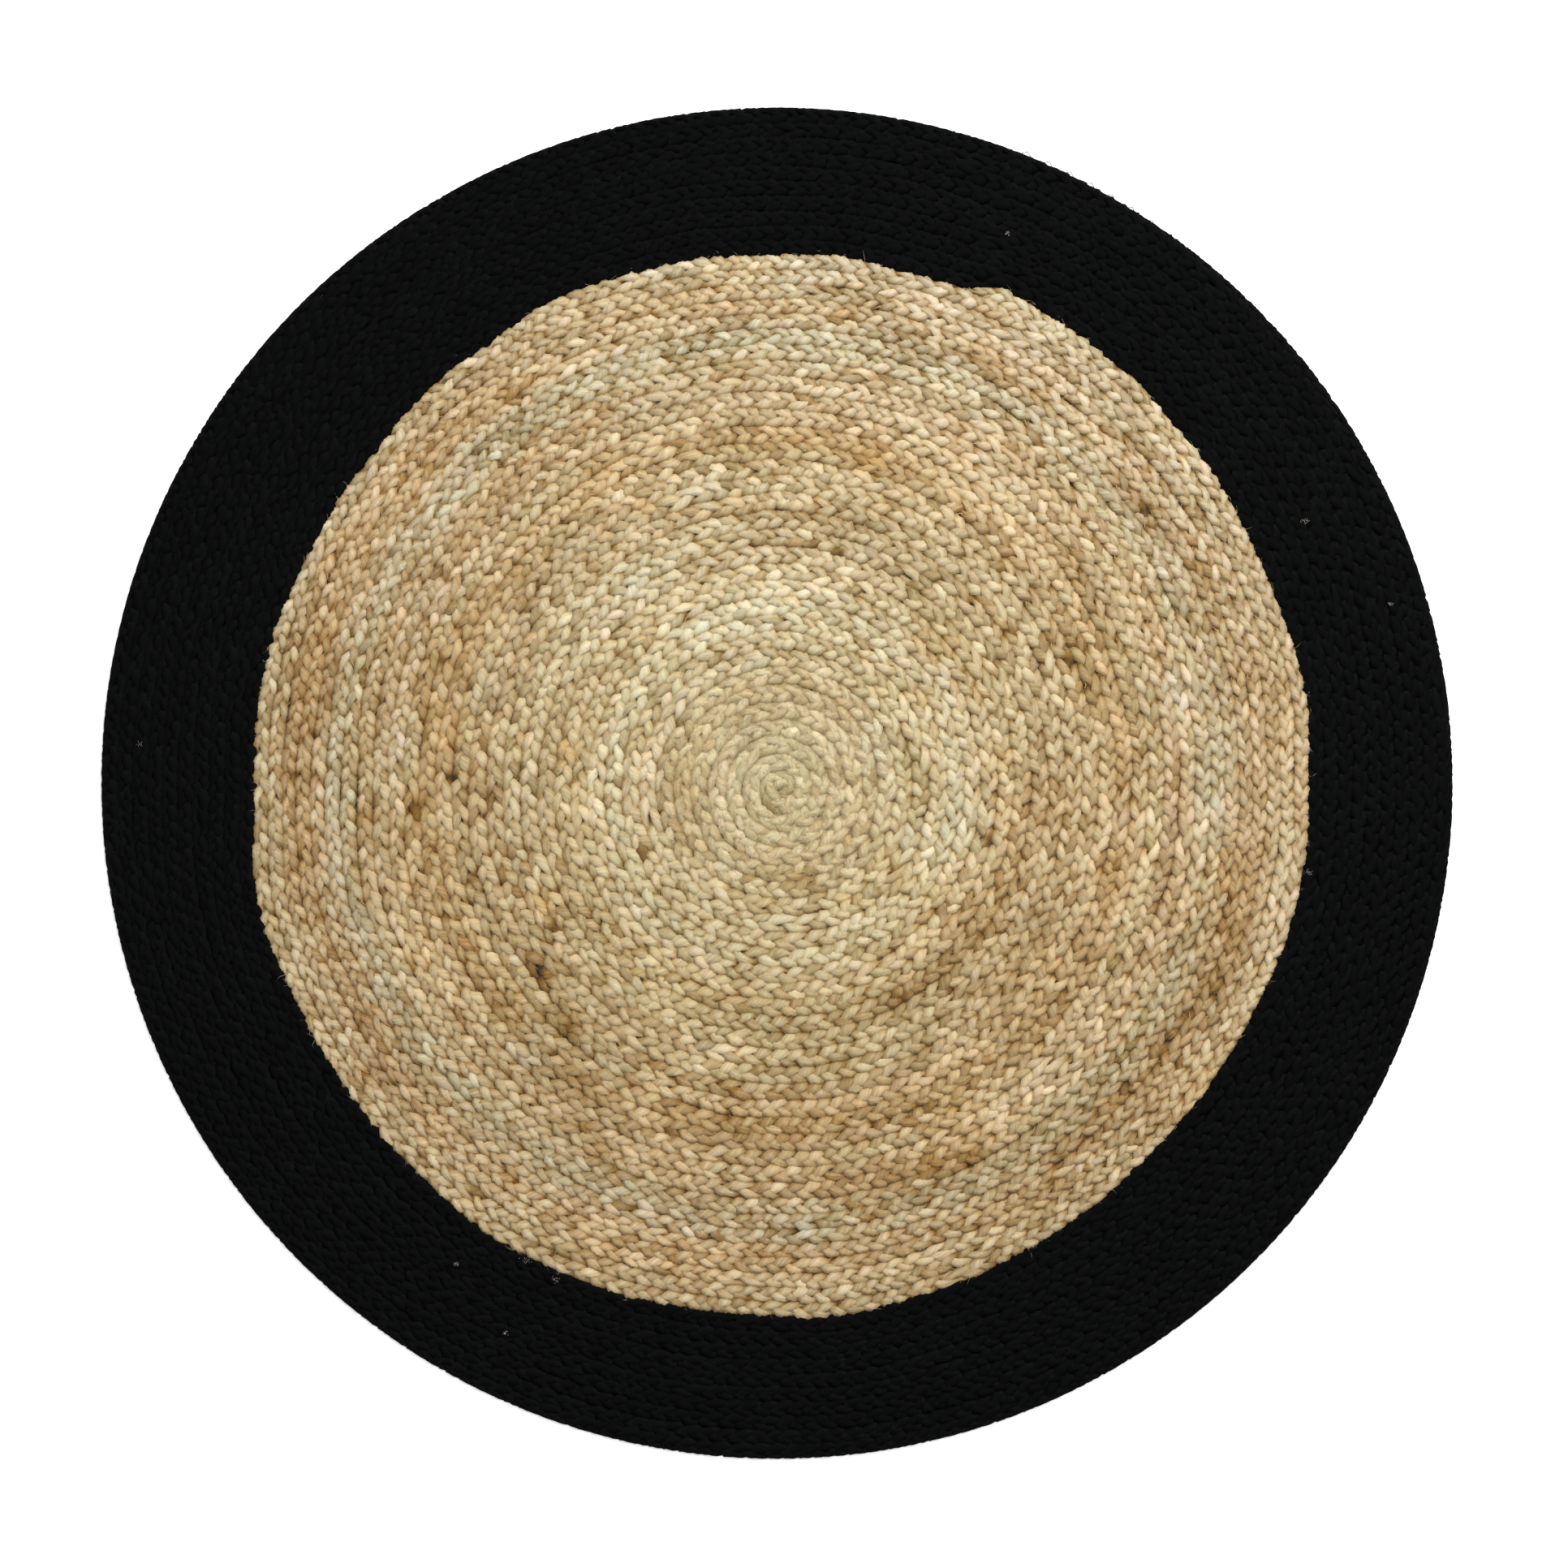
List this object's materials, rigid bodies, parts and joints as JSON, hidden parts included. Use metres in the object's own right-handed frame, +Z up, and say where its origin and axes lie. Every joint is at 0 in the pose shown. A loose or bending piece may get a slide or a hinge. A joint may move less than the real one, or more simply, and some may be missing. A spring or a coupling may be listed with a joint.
{
  "type": "round jute rug",
  "caption": "Round flat rug of natural jute braid coiled in a spiral, with a wide black braided border, for a floor.",
  "frame": {"origin": "middle of the round outer edge, on the flat underside that lies on the floor", "axes": "+Z up through the thickness, towards the side that shows; +Y to the top of the picture and +X to its right, with the tail of the natural braid 70 degrees from +X towards +Y"},
  "size_m": [1.2, 1.2, 0.01],
  "materials": {
    "natural_jute": "undyed jute fibre, mottled straw, tan and brown, dull with a slight fibre sheen",
    "black_jute": "black dyed jute fibre, dull"
  },
  "bodies": {
    "root": {"centre_braid": "natural_jute", "border_braid": "black_jute"}
  },
  "joints": []
}
